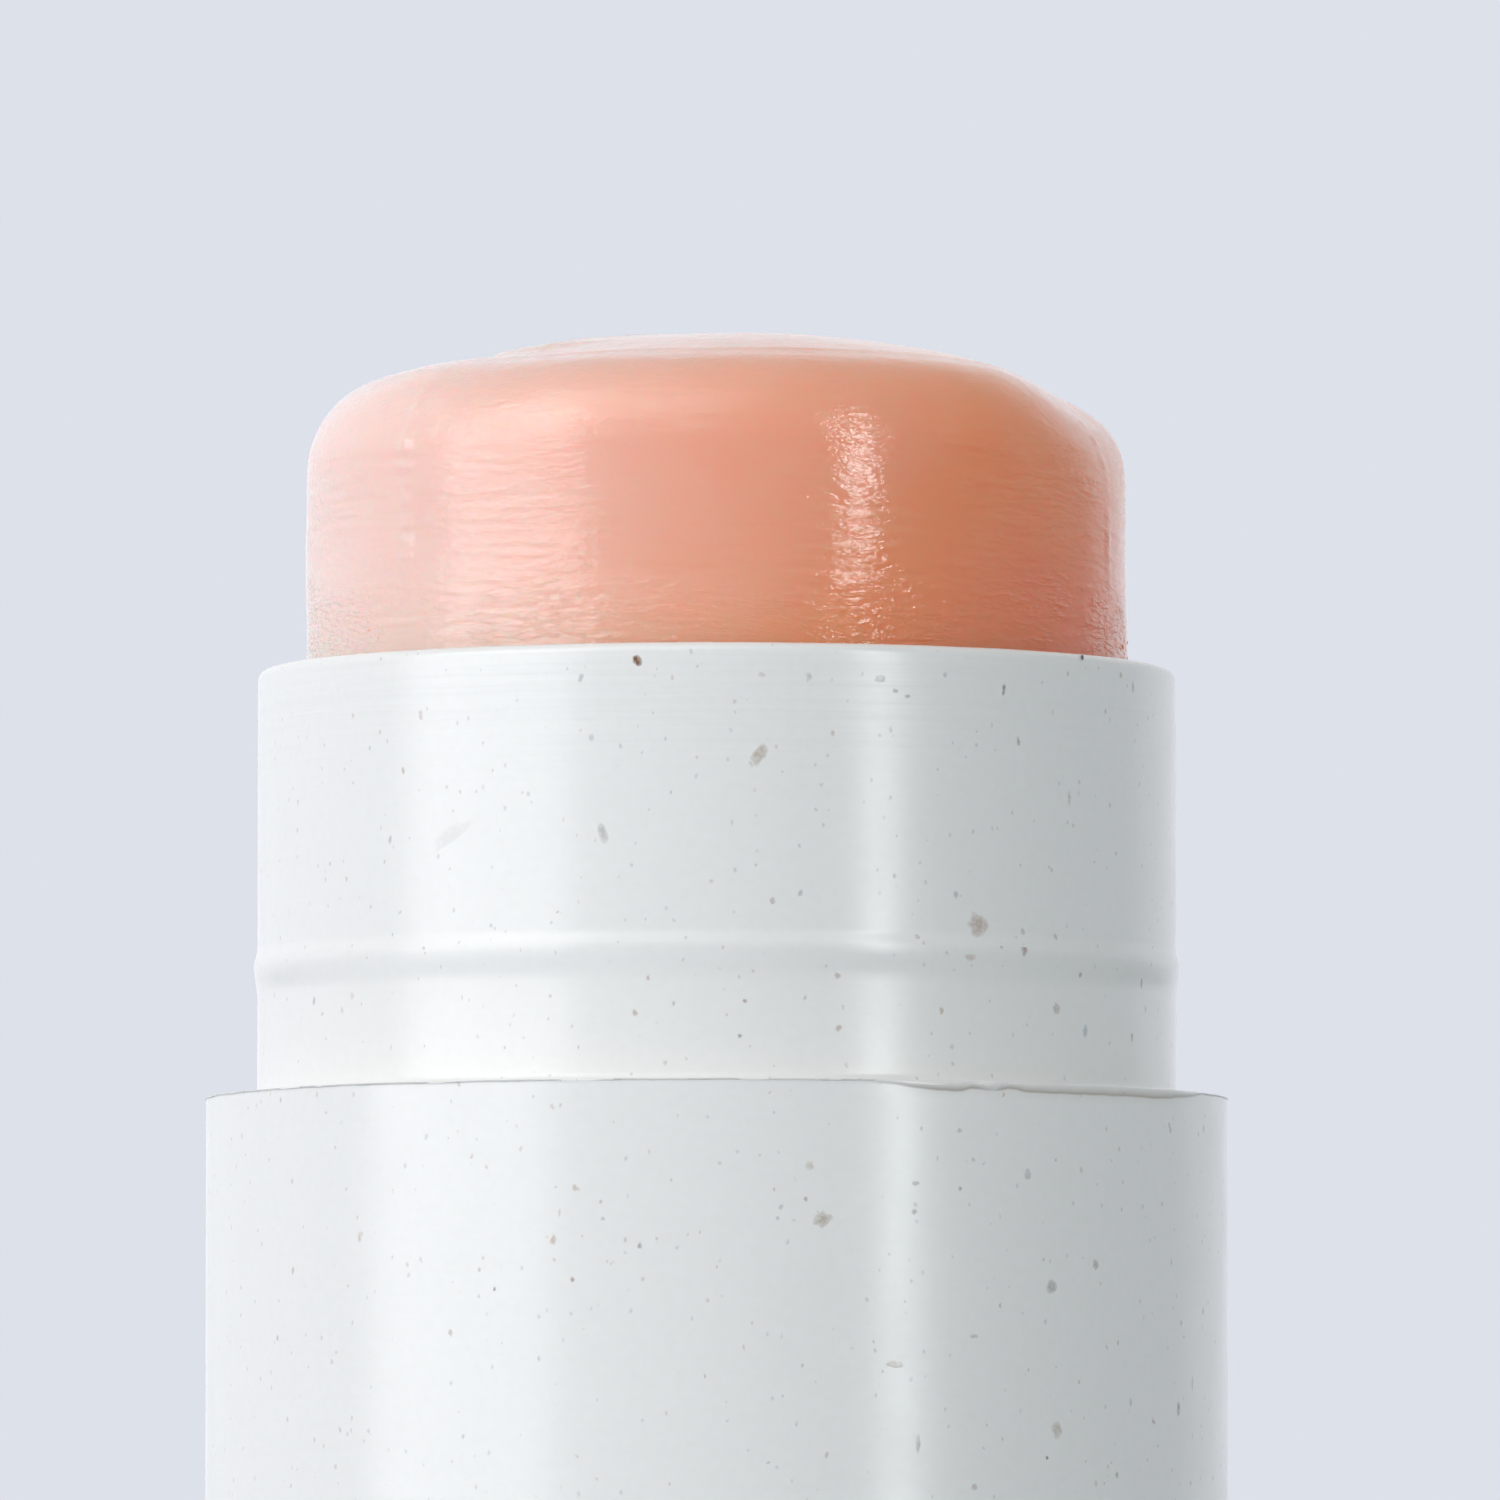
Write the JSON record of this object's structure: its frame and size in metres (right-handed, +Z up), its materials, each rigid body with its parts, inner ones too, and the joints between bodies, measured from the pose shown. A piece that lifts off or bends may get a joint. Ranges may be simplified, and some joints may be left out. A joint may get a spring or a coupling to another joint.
{
  "type": "lip balm stick",
  "caption": "Uncapped twist-up lip balm: a round speckled tube with a capped neck, a worn domed stick wound partly out, and a ridged dial that lifts it on a screw.",
  "frame": {"origin": "centre of the foot that the dial stands on", "axes": "+Z up along the tube and out of its open end, -Y towards the viewer of the picture"},
  "size_m": [0.016, 0.016, 0.06],
  "materials": {
    "shell": "satin, off-white with fine brown and grey specks",
    "balm": "soft wax, glossy and smeared, slightly translucent coral",
    "inner": "plain moulded off-white",
    "dial": "satin, off-white with fine brown and grey specks"
  },
  "bodies": {
    "barrel": {"barrel": "shell"},
    "dial": {"dial": "dial", "lead_screw": "inner"},
    "carriage": {"carriage": "inner", "balm": "balm"}
  },
  "joints": [
    {"name": "dial_turn", "type": "hinge", "parent": "barrel", "child": "dial", "pos_m": [0, 0, 0], "axis": [0, 0, 1], "range_deg": [-900, 2880]},
    {"name": "carriage_lift", "type": "slide", "parent": "barrel", "child": "carriage", "axis": [0, 0, 1], "range_m": [-0.0075, 0.024]}
  ],
  "couplings": [
    {"joint": "dial_turn", "follows": "carriage_lift", "rad_per_m": 2094.4}
  ]
}
